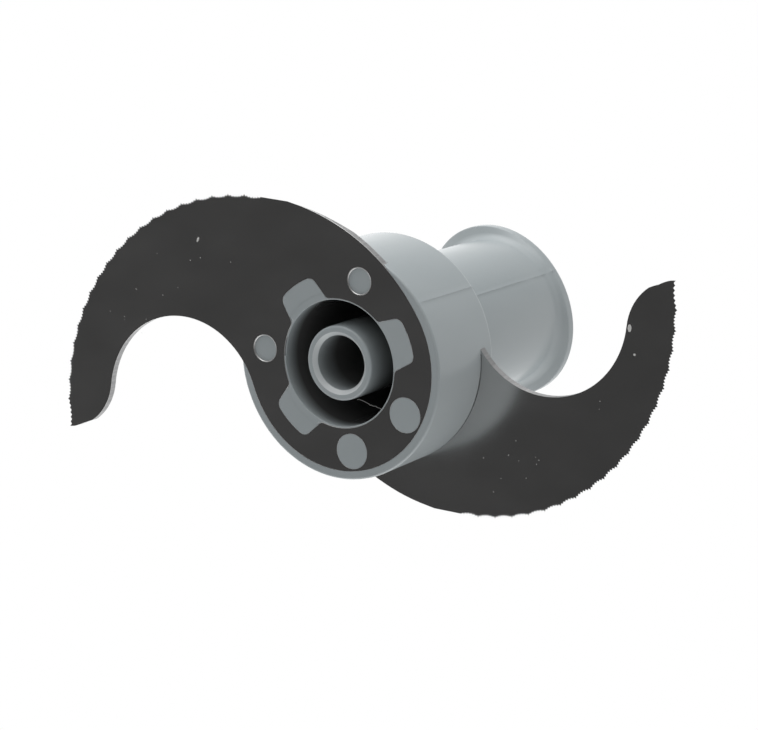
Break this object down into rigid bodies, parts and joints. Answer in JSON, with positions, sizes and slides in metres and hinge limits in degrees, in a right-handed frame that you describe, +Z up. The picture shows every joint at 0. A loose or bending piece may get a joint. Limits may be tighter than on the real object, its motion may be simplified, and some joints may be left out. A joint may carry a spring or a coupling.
{
  "type": "food processor blade",
  "caption": "Food processor chopping blade: a grey moulded drive hub with an oval finger lip and serrated steel sickle blades set into it low down and part-way up, half a turn apart.",
  "frame": {"origin": "middle of the flat base, on the drive axis, at the underside of the lower blade", "axes": "+Z up the drive axis towards the finger lip; +X towards the tip of the lower blade"},
  "size_m": [0.176, 0.0874, 0.08],
  "materials": {
    "hub_plastic": "satin moulded grey",
    "blade_steel": "fine rolled stainless, ground edge"
  },
  "bodies": {
    "root": {"hub": "hub_plastic", "lower_blade": "blade_steel", "upper_blade": "blade_steel"}
  },
  "joints": []
}
